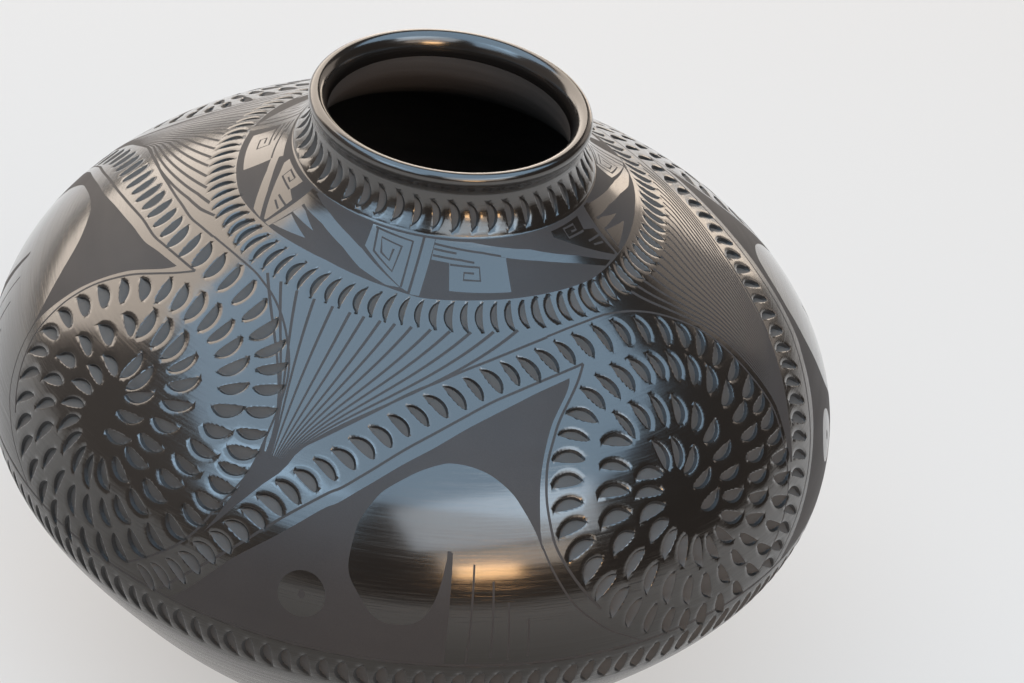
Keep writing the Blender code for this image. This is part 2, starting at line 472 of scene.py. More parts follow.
def give(mesh, name, kind, domain, values):
    """Store numbers on a mesh's points or faces."""
    layer = mesh.attributes.new(name, kind, domain)
    layer.data.foreach_set("value", np.ascontiguousarray(values))


def tree_inputs(name, inputs):
    """An empty geometry tree with these named inputs, its bench, and its input wires by name."""
    tree = bpy.data.node_groups.new(name, "GeometryNodeTree")
    tree.interface.new_socket("Geometry", in_out="INPUT", socket_type="NodeSocketGeometry")
    tree.interface.new_socket("Geometry", in_out="OUTPUT", socket_type="NodeSocketGeometry")
    for label, kind, value in inputs:
        made = tree.interface.new_socket(label, in_out="INPUT", socket_type="NodeSocket" + kind)
        if value is not None:
            made.default_value = value
    bench = Bench(tree)
    first = bench.node("NodeGroupInput")
    wires = {socket.name: Wire(bench, socket) for socket in first.socket.node.outputs if socket.name}
    return tree, bench, wires


def run_tree(name, mesh, tree, values):
    """The plain mesh that a geometry tree makes of a mesh."""
    holder = bpy.data.objects.new(name + "_start", mesh)
    bpy.context.scene.collection.objects.link(holder)
    worker = holder.modifiers.new("Make", "NODES")
    worker.node_group = tree
    for socket in tree.interface.items_tree:
        if socket.in_out == "INPUT" and socket.name in values:
            worker[socket.identifier] = values[socket.name]
    graph = bpy.context.evaluated_depsgraph_get()
    made = bpy.data.meshes.new_from_object(holder.evaluated_get(graph), depsgraph=graph)
    bpy.data.objects.remove(holder)
    made.name = name
    return made


# A mark's width varies this many times as much as its length
WIDTH_VARIES = 2.6


def gouge_tree():
    """The tree that sets one tool mark at each point of a row, turned and sized as given, each a little
    differently.
    """
    tree, bench, wires = tree_inputs(
        "gouge_row",
        [
            ("Tool mark", "Object", None),
            ("Turn spread", "Float", 0.06),
            ("Size spread", "Float", 0.06),
            ("Seed", "Int", 3),
            ("Clay", "Material", None),
        ],
    )

    def stored(name):
        """A number kept on each point of the row."""
        return bench.node("GeometryNodeInputNamedAttribute", {"data_type": "FLOAT"}, {"Name": name})

    def chance(offset):
        """A random number from -1 to 1 for each mark."""
        return bench.node(
            "FunctionNodeRandomValue",
            {"data_type": "FLOAT"},
            {2: -1.0, 3: 1.0, "Seed": wires["Seed"] + offset},
            out=1,
        )

    shape = bench.node("GeometryNodeObjectInfo", {}, {"Object": wires["Tool mark"]}, out="Geometry")
    turn = stored("turn") + chance(0) * wires["Turn spread"]
    width = stored("width") * (1 + chance(1) * wires["Size spread"] * WIDTH_VARIES)
    length = stored("length") * (1 + chance(2) * wires["Size spread"])
    angle = bench.node("ShaderNodeCombineXYZ", {}, {"Z": turn})
    size = bench.node("ShaderNodeCombineXYZ", {}, {"X": width, "Y": length, "Z": 1.0})
    row = bench.node(
        "GeometryNodeInstanceOnPoints",
        {},
        {"Points": wires["Geometry"], "Instance": shape, "Rotation": angle, "Scale": size},
    )
    real = bench.node("GeometryNodeRealizeInstances", {}, {"Geometry": row})
    done = bench.node("GeometryNodeSetMaterial", {}, {"Geometry": real, "Material": wires["Clay"]})
    bench.node("NodeGroupOutput", {}, {"Geometry": done})
    return tree


GOUGE_TREE = gouge_tree()


def mark_object(name, loops):
    """A tool mark as a flat mesh of quads from loop to loop."""
    count = len(loops[0])
    faces = []
    for ring in range(len(loops) - 1):
        for k in range(count):
            here, ahead = ring * count + k, ring * count + (k + 1) % count
            faces.append((here, ahead, ahead + count, here + count))
    shape = bpy.data.meshes.new(name)
    shape.from_pydata([(x, y, 0) for x, y in np.concatenate(loops)], [], faces)
    template = bpy.data.objects.new(name, shape)
    bpy.context.scene.collection.objects.link(template)
    return template


def round_the_cut(marks):
    """Marks with those at the cut edge of the flat sheet repeated on its other side."""
    widest_mark = 0.16
    found = []
    for one in marks:
        centre = one["laid"][1].mean(0)[0]
        for move in (-2 * math.pi, 0.0, 2 * math.pi):
            if abs(centre + move) < math.pi + widest_mark:
                lay = one["lay"].copy()
                lay[2, 0] += move
                found.append({**one, "laid": one["laid"] + (move, 0), "lay": lay})
    return found


def cut_row(name, tool, places, turns, length, width, depth, seed, varied=(0.06, 0.06)):
    """The marks of one row: where each lies on the flat sheet, and how its own millimetres map there."""
    radii = radius_at(run_of(places[:, 1]))
    points = bpy.data.meshes.new(name + "_points")
    points.from_pydata([(x, y, 0) for x, y in places], [], [])
    give(points, "turn", "FLOAT", "POINT", turns)
    give(points, "length", "FLOAT", "POINT", length / radii)
    give(points, "width", "FLOAT", "POINT", width / radii)
    template = mark_object(name + "_mark", tool["loops"])
    made = run_tree(
        name,
        points,
        GOUGE_TREE,
        {
            "Tool mark": template,
            "Turn spread": varied[0],
            "Size spread": varied[1],
            "Seed": seed,
            "Clay": FINISHES[CUT],
        },
    )
    bpy.data.objects.remove(template)
    own_spots = np.concatenate(tool["loops"])
    laid_spots = np.zeros(len(made.vertices) * 3)
    made.vertices.foreach_get("co", laid_spots)
    bpy.data.meshes.remove(made)
    marks = []
    for laid in laid_spots.reshape(len(places), len(own_spots), 3)[:, :, :2]:
        lay = np.linalg.lstsq(np.column_stack([own_spots, np.ones(len(own_spots))]), laid, rcond=None)[0]
        loops = laid.reshape(len(tool["loops"]), -1, 2)
        marks.append({"laid": loops, "lay": lay, "tool": tool, "depth": depth})
    return round_the_cut(marks)


gouges = []
for number, lay in enumerate(PANELS):
    rings = [flat(lay(eased(ring))) for ring in (RING_1, RING_2, RING_3, RING_4)]
    gouges += cut_row(
        "disc_gouges",
        HALF_MOON,
        np.concatenate(rings),
        np.concatenate([directions(ring) for ring in rings]),
        length=1.04,
        width=1.06,
        depth=1.35,
        seed=5 + number,
    )
    if lay is RIGHT:
        row = flat(spaced(BAND_ROW_RIGHT, BAND_PITCH_RIGHT))
    else:
        row = flat(spaced(lay(BAND_ROW), BAND_PITCH))
    gouges += cut_row(
        "band_gouges", HALF_MOON, row, directions(row), length=1.0, width=0.98, depth=1.3, seed=15 + number
    )

# The rings right round the pot: over the base line, under the neck's panel, and on the neck itself
for name, tool, s, count, heading, length, width, depth, seed, varied in (
    ("base_gouges", HALF_MOON, 142.9, 146, math.pi - 0.10, 1.22, 1.14, 1.3, 31, (0.05, 0.05)),
    ("neck_border_gouges", CRESCENT, 25.2, 93, math.pi - 0.12, 1.0, 0.86, 1.0, 41, (0.07, 0.08)),
    ("neck_gouges", CRESCENT, -6.0, 48, 0.10, 0.98, 1.02, 1.1, 51, (0.08, 0.06)),
):
    headings = np.full(count, heading)
    gouges += cut_row(name, tool, ring_row(s, count), headings, length, width, depth, seed, varied)


def nearest(points, chain):
    """The distance from points to a chain of straight pieces."""
    best = np.full(len(points), np.inf)
    for start, end in zip(chain[:-1], chain[1:]):
        leg = end - start
        share = np.clip(((points - start) @ leg) / (leg @ leg), 0, 1)
        gap = points - start - share[:, None] * leg
        best = np.minimum(best, (gap**2).sum(1))
    return np.sqrt(best)


def inside(points, polygon):
    """Which points lie inside a polygon."""
    x, y = points[:, 0], points[:, 1]
    found = np.zeros(len(points), bool)
    for (x0, y0), (x1, y1) in zip(polygon, np.roll(polygon, -1, 0)):
        if y0 != y1:
            crosses = ((y0 > y) != (y1 > y)) & (x < (x1 - x0) * (y - y0) / (y1 - y0) + x0)
            found ^= crosses
    return found


class Places:
    """Points of the flat sheet sorted into squares, so that those near a mark are quickly found."""

    CELL = 0.08

    def __init__(self, points):
        self.points = points
        cells = np.floor(points / self.CELL).astype(int)
        self.low = cells.min(0)
        self.width = cells[:, 0].max() - self.low[0] + 1
        keys = (cells[:, 1] - self.low[1]) * self.width + cells[:, 0] - self.low[0]
        self.order = np.argsort(keys, kind="stable")
        self.keys = keys[self.order]

    def near(self, low, high):
        """The points in a box."""
        first = np.floor(low / self.CELL).astype(int) - self.low
        last = np.floor(high / self.CELL).astype(int) - self.low
        first[0] = max(first[0], 0)
        last[0] = min(last[0], self.width - 1)
        parts = [np.zeros(0, int)]
        for row in range(first[1], last[1] + 1):
            start = np.searchsorted(self.keys, row * self.width + first[0], "left")
            end = np.searchsorted(self.keys, row * self.width + last[0], "right")
            parts.append(self.order[start:end])
        found = np.concatenate(parts)
        spots = self.points[found]
        return found[((spots >= low) & (spots <= high)).all(1)]


# The lip sinks less and is narrower at the back of a mark than at its front; the floor deepens to the front
LIP_DEPTH_BACK = 0.04
LIP_DEEPENS = 0.14
LIP_REACH_BACK = 0.55
LIP_REACH_GROWS = 0.9
FLOOR_START = 0.05
FLOOR_BOW = 0.8
FULL_DEPTH_ACROSS = 2.0

# The groove that sets off the neck at its ring
GROOVE_RUN = 0.2
GROOVE_HALF_WIDTH = 0.9
GROOVE_DEPTH = 0.12


def mark_depth(local, tool, depth):
    """The depth of a tool mark at points in its own millimetres, which lie in it, and how near its front."""
    to_front = nearest(local, tool["front"])
    to_back = nearest(local, tool["back"])
    within = inside(local, tool["loops"][1])
    share = to_back / np.maximum(to_front + to_back, 1e-6)
    lip = LIP_DEPTH_BACK + LIP_DEEPENS * share
    reach = LIP_REACH_BACK + LIP_REACH_GROWS * share
    outside = lip * np.clip(1 - np.minimum(to_front, to_back) / reach, 0, 1) ** 2
    taper = np.clip((to_front + to_back) / FULL_DEPTH_ACROSS, 0, 1)
    foot = np.clip(to_front / FOOT_WIDTH, 0, 1)
    foot = foot * foot * (3 - 2 * foot)
    floor = FLOOR_START + depth * taper * share**FLOOR_BOW
    return np.where(within, lip * (1 - foot) + floor * foot, outside), within, to_front


def cuts_at(points):
    """The depth of the carving at points of the sheet, and which lie in a gouge and on its steep side."""
    near_mark = 0.004
    sorted_places = Places(points)
    depth = np.zeros(len(points))
    in_gouge = np.zeros(len(points), bool)
    on_steep_side = np.zeros(len(points), bool)
    for one in gouges:
        lip = one["laid"][0]
        found = sorted_places.near(lip.min(0) - near_mark, lip.max(0) + near_mark)
        if not len(found):
            continue
        local = (points[found] - one["lay"][2]) @ np.linalg.inv(one["lay"][:2])
        cut, within, to_front = mark_depth(local, one["tool"], one["depth"])
        depth[found] = np.maximum(depth[found], cut)
        in_gouge[found] |= within
        on_steep_side[found] |= within & (to_front < FOOT_WIDTH)
    groove = np.clip(1 - np.abs(run_of(points[:, 1]) - GROOVE_RUN) / GROOVE_HALF_WIDTH, 0, 1)
    depth = np.maximum(depth, GROOVE_DEPTH * groove * groove * (3 - 2 * groove))
    return depth, in_gouge, on_steep_side


def carved(points):
    """The depth of the carving at points of the flat sheet, in millimetres."""
    return cuts_at(points)[0]


# Slip painting
# Thin slip is brushed over the burnished wall in flat shapes and lines, and stays matte in the firing. Each
# shape is an outline of (degrees round the pot, run); later ones lie over earlier ones.
BASE_LINE = 134.0
BASE_LINE_WIDTH = 1.0
FAN_TOP = 30.4
FAN_FOOT = 81.0
painting = []

# Lines of the front panel: over and under the gouged band, over the disc, and the matte panel's two sides
BAND_TOP = [
    (-60, 34), (-65, 35.5), (-70, 37.5), (-75, 40), (-80, 43), (-85, 47), (-90, 51.5), (-95, 58),
    (-100, 65.5), (-105, 74),
]
DISC_TOP = [
    (-60, 33.8), (-55, 32.8), (-50, 32.3), (-44, 32.3), (-40, 33.3), (-35, 35.6), (-30, 40), (-26, 46),
    (-23, 53), (-21.5, 60), (-20.8, 70), (-20.8, 85), (-22, 93), (-23.5, 100), (-25, 108), (-27, 115),
    (-30, 122), (-34, 130),
]
BAND_FOOT = [
    (-54.3, 44.6), (-60, 46), (-65, 47.7), (-70, 50), (-75, 53), (-80, 57.5), (-85, 63), (-90, 69.5),
    (-95, 78), (-98, 83.5), (-100, 86.5), (-105, 96.5), (-110, 109), (-115, 121.7), (-119, 132.5),
]
PANEL_TOP = [
    (-58.5, 48), (-65, 50.5), (-70, 53.4), (-75, 57), (-80, 61.5), (-85, 67.5), (-90, 74), (-95, 82.4),
    (-98, 88), (-100, 91), (-105, 101.7), (-110, 112.8), (-115, 127.8), (-117.3, 133.3),
]
DISC_LEFT_LINE = [
    (-54.3, 44.6), (-57, 49.5), (-60, 54.5), (-63, 60), (-65, 65.5), (-67, 73), (-68, 82), (-68, 90),
    (-67.5, 97), (-66, 104), (-64, 111), (-61.5, 118),
]
PANEL_RIGHT = [
    (-58.5, 48.5), (-60, 52), (-63, 57.5), (-65, 62), (-67, 69), (-68.5, 77), (-69.2, 85), (-69.5, 92),
]

# The left side of the burnished oval in the matte panel
OVAL_LEFT = [
    (-82.2, 97.4), (-82.5, 101.7), (-82.8, 106), (-83.4, 111.7), (-84.4, 116.7), (-85.7, 119.6),
    (-87.4, 120.6), (-89.5, 120.4), (-91.3, 118), (-93, 113), (-94.5, 108), (-95, 103), (-94.8, 94.6),
    (-94.3, 90.3), (-92.7, 83.9), (-91, 80.3), (-87.4, 75.3), (-83.9, 72.4), (-81.8, 71.9), (-79, 72.8),
    (-76.1, 75.3), (-73.3, 80.3), (-71.6, 86), (-70.2, 92.4), (-69.5, 97.4),
]

# Where the lines of the front fan end at the neck border, and the two sides of the wide fan
FAN_ENDS = [
    -131, -126.5, -121.5, -116.5, -111.5, -107, -103.5, -99.5, -96, -92, -87.5, -83, -78, -72.5, -66.5,
]
WIDE_FAN_LEFT = [
    (-32.5, 30.4), (-30.5, 35), (-28, 39.5), (-25, 45.5), (-22, 52.5), (-20.3, 60), (-19.5, 70),
    (-19.6, 85), (-21, 93), (-22.3, 100), (-23, 104),
]
WIDE_FAN_RIGHT = [
    (36, 30.4), (33, 33), (26, 37), (21, 40), (16.5, 43), (11.5, 47), (6.5, 51.5), (1.5, 58),
    (-3.5, 65.5), (-8, 74), (-11.5, 80), (-15.3, 87), (-19.3, 95), (-22.6, 104),
]


def shifted(degrees):
    """A way to lay marks this far round the pot."""
    return lambda points: points + (degrees, 0)


AS_DRAWN = shifted(0)
ON_THE_RIGHT = shifted(120)
ON_THE_LEFT = shifted(-120)
THIRDS = (AS_DRAWN, ON_THE_RIGHT, ON_THE_LEFT)
NECK_LEFT = stretched([-113, -93, -89, -83.5, -65, -62], [-216, -195.5, -191.5, -190, -170.5, -168])
NECK_FRETS = (AS_DRAWN, ON_THE_RIGHT, NECK_LEFT)


def divided(loop):
    """The same loop with its long legs cut up, so that they bend round the pot."""
    longest_leg = 0.03
    parts = []
    for start, end in zip(loop, np.roll(loop, -1, 0)):
        count = max(int(np.ceil(np.linalg.norm(end - start) / longest_leg)), 1)
        parts.append(start + (end - start) * (np.arange(count) / count)[:, None])
    return np.concatenate(parts)


def paint(finish, points, places=PANELS):
    """Lay a closed shape on the flat sheet at each of these places."""
    past_edge = 181
    for lay in places:
        placed = lay(np.array(points, float))
        for move in (-360, 0, 360):
            shape = placed + (move, 0)
            if shape[:, 0].max() > -past_edge and shape[:, 0].min() < past_edge:
                painting.append((finish, divided(flat(shape))))


def rounded(points, count):
    """A smooth line through these points, in this many steps from each to the next."""
    points = np.array(points, float)
    padded = np.concatenate([points[:1], points, points[-1:]])
    made = []
    for a, b, c, d in zip(padded, padded[1:], padded[2:], padded[3:]):
        for t in np.arange(count) / count:
            square = (2 * a - 5 * b + 4 * c - d) * t**2
            cube = (3 * b - a - 3 * c + d) * t**3
            made.append(0.5 * (2 * b + (c - a) * t + square + cube))
    made.append(points[-1])
    return np.array(made)


def brush_line(points, start_width, end_width=None, places=PANELS):
    """A line of slip along these points, in millimetres wide."""
    path = np.array(points, float)
    spots = flat(path)
    along = unit(np.gradient(spots, axis=0))
    across = np.stack([-along[:, 1], along[:, 0]], 1)
    widths = np.linspace(start_width, end_width or start_width, len(path))
    half = across * (widths / 2 / radius_at(path[:, 1]))[:, None]
    edge = np.concatenate([spots + half, (spots - half)[::-1]])
    paint(SLIP, np.stack([np.degrees(edge[:, 0]), run_of(edge[:, 1])], 1), places)


# The matte panel between two discs, and the burnished oval that is left bare in it
panel_foot = [(-69.4, 97.4), (-73, 110), (-77, 122), (-81.5, 133.4)]
paint(SLIP, np.concatenate([rounded(PANEL_TOP, 4)[::-1], rounded(PANEL_RIGHT, 4)[1:], panel_foot]))
oval_right = [(-69.0, 98), (-68, 104.5), (-65.4, 114.6), (-62, 125), (-60, 133.3), (-81.5, 133.3),
              (-81.6, 98)]
paint(BURNISHED, np.concatenate([rounded(OVAL_LEFT, 4), oval_right]))

# Lines along the band and round the disc
for line, width in ((BAND_TOP, 0.8), (DISC_TOP, 0.7), (BAND_FOOT, 0.8), (DISC_LEFT_LINE, 0.8)):
    brush_line(rounded(line, 4), width)
disc_foot = [(-69.5, 96), (-68, 104.5), (-65.4, 114.6), (-62.6, 121), (-60, 126), (-56.5, 131), (-54.6, 134)]
brush_line(rounded(disc_foot, 4), 0.6)

# The stems that stand in the oval, the first one the broadest
for width, line in (
    (1.1, [(-82.1, 97.4), (-82.1, 110), (-81.9, 122), (-81.6, 133.2)]),
    (0.6, [(-78.7, 101), (-78.7, 112), (-78.7, 133)]),
    (0.6, [(-76.1, 106), (-75.9, 118), (-75.7, 131)]),
    (0.6, [(-74, 112.5), (-73.7, 122), (-73.4, 132)]),
    (0.6, [(-71.3, 118), (-71.1, 124), (-70.9, 131)]),
):
    brush_line(rounded(line, 4), width)

# The round burnished spot with its speck of slip
circle = np.radians(np.arange(0, 360, 7.5))
round_spot = np.stack([np.cos(circle), np.sin(circle)], 1)
SPOT_PLACE = (-100.1, 116.5)
paint(BURNISHED, SPOT_PLACE + round_spot * (3.05, 7.3))
paint(SLIP, SPOT_PLACE + round_spot[::6] * (0.48, 1.35))


# Where a corner fan's lines start, and how much its outermost lines bend to the right and to the left
FAN_FEET = (-110.2, -106.6)
RIGHT_BEND = 0.65
RIGHT_REACH = 47
LEFT_BEND = 1.3
LEFT_REACH = 23


def corner_fan(lay, lines):
    """Lines that leave the matte panel's upper corner and spread up to the neck border."""
    ends = np.interp(np.linspace(0, len(FAN_ENDS) - 1, lines), range(len(FAN_ENDS)), FAN_ENDS)
    runs = np.linspace(FAN_TOP, FAN_FOOT, 17)
    for foot, end in zip(np.linspace(*FAN_FEET, lines), ends):
        reach = end - foot
        if reach > 0:
            bend = 1 + RIGHT_BEND * math.sqrt(reach / RIGHT_REACH)
        else:
            bend = 1 - LEFT_BEND * reach / LEFT_REACH
        turns = foot + reach * ((FAN_FOOT - runs) / (FAN_FOOT - FAN_TOP)) ** bend
        brush_line(np.stack([turns, runs], 1), 0.95, 0.5, places=[lay])


def wide_fan():
    """Lines between two curved sides, which rise from the right disc's side to the neck border."""
    first_line = 0.02
    last_line = 0.93
    left = rounded(WIDE_FAN_LEFT, 6)
    right = rounded(WIDE_FAN_RIGHT, 6)
    runs = np.linspace(FAN_TOP, left[-1, 1], 23)
    left_turns = np.interp(runs, left[:, 1], left[:, 0])
    right_turns = np.interp(runs, right[:, 1], right[:, 0])
    for share in np.linspace(first_line, last_line, 21):
        turns = left_turns + share * (right_turns - left_turns)
        brush_line(np.stack([turns, runs], 1), 1.0, 0.45, places=[AS_DRAWN])


corner_fan(FRONT, 15)
corner_fan(BACK, 15)
corner_fan(LEFT, 20)
wide_fan()

# The wedge of slip where a fan's lines run together
wedge_left = [(-114.5, 108), (-113.6, 103), (-112.6, 96), (-111.8, 90), (-111.3, 80)]
wedge_right = [(-111.3, 74), (-110.6, 79.6), (-106.4, 80.8), (-107.3, 84.4), (-109, 89), (-110.5, 94),
               (-111.7, 98), (-113, 103)]
paint(SLIP, wedge_right + wedge_left, (FRONT, BACK, LEFT))

around = np.arange(-180, 180.1, 4.0)


def ring_band(top, foot):
    """A band of slip right round the pot, between two runs that may wander."""
    upper = np.stack([around, np.broadcast_to(top, around.shape)], 1)
    lower = np.stack([around, np.broadcast_to(foot, around.shape)], 1)
    painting.append((SLIP, flat(np.concatenate([upper, lower[::-1]]))))


# The neck's matte panel, whose foot wanders the same way in each third, and the line over the base
NECK_PANEL_TOP = 0.7
NECK_PANEL_FOOT = np.interp(
    (around + 143) % 120 - 143,
    [-143, -130, -120, -110, -100, -91, -75, -60, -50, -40, -23],
    [19.2, 18.0, 17.6, 18.3, 19.3, 20.6, 20.0, 20.2, 20.5, 20.9, 19.2],
)
ring_band(NECK_PANEL_TOP, NECK_PANEL_FOOT)
ring_band(BASE_LINE - BASE_LINE_WIDTH / 2, BASE_LINE + BASE_LINE_WIDTH / 2)

# The figures that are left burnished in the neck's panel, with their stepped frets of slip
FRET_WIDTH = 0.7
paint(BURNISHED, [(-142.2, 1.4), (-139, 1.4), (-142.8, 19.0), (-144.7, 19.0)], THIRDS)
paint(BURNISHED, [(-140.5, 7.6), (-138, 7.9), (-129.8, 11.6), (-141, 10.8)], THIRDS)
paint(BURNISHED, [(-140.7, 11.6), (-137.6, 12.5), (-130.2, 14.8), (-142.4, 17.7)], THIRDS)
paint(
    BURNISHED,
    [(-139.1, 2), (-129.2, 4.3), (-118, 7.5), (-112, 9.8), (-97.2, 18.4), (-101, 18.6), (-110, 15.7),
     (-118, 11.6), (-129.2, 8.2), (-137.6, 7.3), (-140.5, 6.6)],
    THIRDS,
)
paint(BURNISHED, [(-112.3, 1.4), (-93, 1.4), (-94.5, 19.4), (-97, 18.3), (-111.7, 8.5)], NECK_FRETS)
for line in (
    [(-110.9, 1.9), (-96.6, 3.2), (-96.9, 18.2)],
    [(-110, 2.2), (-108.3, 9.1), (-100.6, 13.9), (-99.9, 5.5), (-107.5, 4.3), (-105.8, 8.9), (-102.5, 10.7),
     (-102.3, 6.8)],
):
    brush_line(line, FRET_WIDTH, places=NECK_FRETS)
paint(BURNISHED, [(-92.6, 1.4), (-89, 1.4), (-89.9, 7.7), (-91.5, 20), (-94.1, 20)], NECK_FRETS)
brush_line([(-93, 1.4), (-94.5, 19.6)], 0.8, places=NECK_FRETS)
paint(
    BURNISHED,
    [(-88.8, 1.4), (-75.8, 1.7), (-62, 4.3), (-64.5, 7.5), (-65.5, 18), (-83.4, 17.3), (-83.6, 8.3),
     (-89.5, 7.8)],
    NECK_FRETS,
)
for line in (
    [(-89, 2.8), (-80, 3.9), (-72, 5), (-63.2, 7)],
    [(-89, 4.4), (-81.3, 5.2)],
    [(-89.2, 6.4), (-80, 7.2), (-75.4, 8)],
    [(-83.4, 8.8), (-73.9, 9.5), (-74.1, 13.8), (-79.2, 13.5), (-78.9, 11.2), (-75.8, 11.4)],
):
    brush_line(line, FRET_WIDTH, places=NECK_FRETS)
paint(
    BURNISHED,
    [(-66, 3.6), (-55, 5.7), (-45, 9.8), (-39.1, 12.3), (-29, 19), (-32, 19.6), (-40.8, 14.5), (-47, 12),
     (-53.4, 9.8), (-59.7, 8.2), (-66, 6.6)],
    (AS_DRAWN, ON_THE_RIGHT),
)
paint(
    BURNISHED,
    [(-183, 1.6), (-176, 3.6), (-169, 5.7), (-160.5, 9.8), (-155.5, 12.8), (-147.5, 19.2), (-152, 19.2),
     (-158.5, 14.6), (-165, 10.6), (-170.5, 8.4), (-177, 6.4), (-184, 4.6)],
    [AS_DRAWN],
)
brush_line([(-186, 4.8), (-178, 6.6), (-170.5, 8.4)], FRET_WIDTH, places=[AS_DRAWN])
paint(
    BURNISHED,
    [(-43.8, 2.5), (-28.5, 2.3), (-29.6, 6.8), (-25.2, 8.4), (-25.4, 18.2), (-26, 18.6), (-40.3, 6.8),
     (-43.8, 4.5)],
    THIRDS,
)
for line in (
    [(-30, 7), (-37.8, 6.6), (-38, 3.4), (-32.7, 3.6), (-32.9, 5.5), (-35.4, 5.2)],
    [(-23.9, 11.1), (-31, 10.5)],
    [(-26, 13.4), (-30, 12.3)],
):
    brush_line(line, FRET_WIDTH, places=THIRDS)

# The carved and painted wall
# Coils from under the belly up to the neck, joined and rubbed to one skin before the carving, so their seams
# don't show. The skin is laid out flat with every cut and painted edge in it, then wrapped on the pot.
CARVED_COILS = (
    "neck_coil",
    "shoulder_coil_5",
    "shoulder_coil_4",
    "shoulder_coil_3",
    "shoulder_coil_2",
    "shoulder_coil_1",
    "lower_wall_coil_3",
)
LAST_CARVED_SEAM = 152.0
SEAM_RUNS = (NECK_TOP, 0.0, 18.7, 44.7, 73.4, 101.5, 130.7, LAST_CARVED_SEAM)

# Columns of plain points round the pot, and strips that the sheet is cut into for its bake map
COLUMNS = 240
STRIPS = 8

# Margins at the sides and ends of each strip, and the heights of the bake map that each part takes up
SIDE_MARGIN = 0.004
END_MARGIN = 0.02
SKIN_ON_MAP = (0.24, 1.0)
INSIDE_ON_MAP = (0.03, 0.23)
TOP_SEAM_ON_MAP = (0.001, 0.011)
FOOT_SEAM_ON_MAP = (0.013, 0.023)

# The sheet is triangulated this much larger, and points this near count as on a line or as one
ENLARGED = 100.0
ON_LINE = 1e-6
SHORT_LEG = 3e-5
SAME_HEIGHT = 2e-5


def triangulated(points, edges, nearness):
    """The points of a flat sheet, and triangles between them that keep these edges."""
    made = delaunay_2d_cdt([Vector(point) for point in points * ENLARGED], edges, [], 0, nearness)
    return np.array([(v.x, v.y) for v in made[0]]) / ENLARGED, np.array(made[2])


def turned_area(spots, faces):
    """Twice the area of each triangle, below zero where it faces away."""
    legs = spots[faces[:, 1:]] - spots[faces[:, :1]]
    return legs[:, 0, 0] * legs[:, 1, 1] - legs[:, 0, 1] * legs[:, 1, 0]


def whole(faces):
    """Which triangles have three different corners."""
    return (faces[:, 0] != faces[:, 1]) & (faces[:, 1] != faces[:, 2]) & (faces[:, 0] != faces[:, 2])


class Drawing:
    """Points of the flat sheet, and the edges between them that its triangles have to keep."""

    def __init__(self):
        self.points = []
        self.edges = []
        self.used = 0

    def add(self, spots, closed=False, joined=True):
        """A line or a closed loop of points, or loose points."""
        count = len(spots)
        if joined:
            self.edges += [(self.used + k, self.used + k + 1) for k in range(count - 1)]
        if closed:
            self.edges.append((self.used + count - 1, self.used))
        self.points.append(spots)
        self.used += count


def plain_points(x, rows):
    """A grid of points for the sheet, without those that lie in a gouge."""
    grid = np.stack(np.meshgrid(x[1:-1], rows[1:-1]), -1).reshape(-1, 2)
    sorted_grid = Places(grid)
    keep = np.ones(len(grid), bool)
    for one in gouges:
        lip = one["laid"][0]
        found = sorted_grid.near(lip.min(0), lip.max(0))
        keep[found[inside(grid[found], lip)]] = False
    return grid[keep]


def without_short_legs(spots, faces):
    """The triangles with each very short leg drawn together, to an end that lies on a seam or the cut."""
    on_line = np.abs(np.abs(spots[:, 0]) - math.pi) < ON_LINE
    for s in SEAM_RUNS:
        on_line |= np.abs(spots[:, 1] - flat((0, s))[1]) < ON_LINE
    kept = np.arange(len(spots))
    for a, b in ((0, 1), (1, 2), (2, 0)):
        gap = np.linalg.norm(spots[faces[:, a]] - spots[faces[:, b]], axis=1)
        for pair in faces[gap < SHORT_LEG][:, [a, b]]:
            start, end = sorted(pair, key=lambda spot: (not on_line[spot], spot))
            kept[end] = kept[start]
    return kept[kept[faces]]


def flat_sheet():
    """Points, triangles and their middles of the flat sheet, with every cut and painted edge in them."""
    drawing = Drawing()
    for one in gouges:
        for loop in one["laid"]:
            drawing.add(loop, closed=True)
    for finish, shape in painting:
        drawing.add(shape, closed=True)
    x = np.linspace(-math.pi, math.pi, COLUMNS + 1)
    for s in SEAM_RUNS:
        drawing.add(np.stack([x, np.full(len(x), flat((0, s))[1])], 1))
    y_top, y_foot = flat([(0, SEAM_RUNS[0]), (0, SEAM_RUNS[-1])])[:, 1]
    rows = np.linspace(y_top, y_foot, int((y_top - y_foot) / (x[1] - x[0])) + 1)
    for k in range(STRIPS + 1):
        drawing.add(np.stack([np.full(len(rows), -math.pi + k * 2 * math.pi / STRIPS), rows], 1))
    drawing.add(plain_points(x, rows), joined=False)

    spots, faces = triangulated(np.concatenate(drawing.points), drawing.edges, nearness=1e-4)
    middles = spots[faces].mean(1)
    within = (np.abs(middles[:, 0]) < math.pi) & (middles[:, 1] < y_top) & (middles[:, 1] > y_foot)
    faces = without_short_legs(spots, faces[within])
    middles = middles[within][whole(faces)]
    faces = faces[whole(faces)]
    turned_away = turned_area(spots, faces) < 0
    faces[turned_away] = faces[turned_away][:, ::-1]
    return spots, faces, middles


def finishes_at(places):
    """The finish at each of these places: burnish, slip that lies over it, and cuts through both."""
    found_finish = np.full(len(places), BURNISHED)
    sorted_places = Places(places)
    for finish, shape in painting:
        found = sorted_places.near(shape.min(0), shape.max(0))
        found_finish[found[inside(places[found], shape)]] = finish
    depth, in_gouge, on_steep_side = cuts_at(places)
    found_finish[in_gouge] = CUT
    # The steep side of each gouge takes the near-black finish, painted shade for the shadow in it
    found_finish[on_steep_side] = PAINTED_SHADE_EDGE
    return found_finish


sheet_spots, sheet_faces, sheet_middles = flat_sheet()
sheet_finish = finishes_at(sheet_middles)


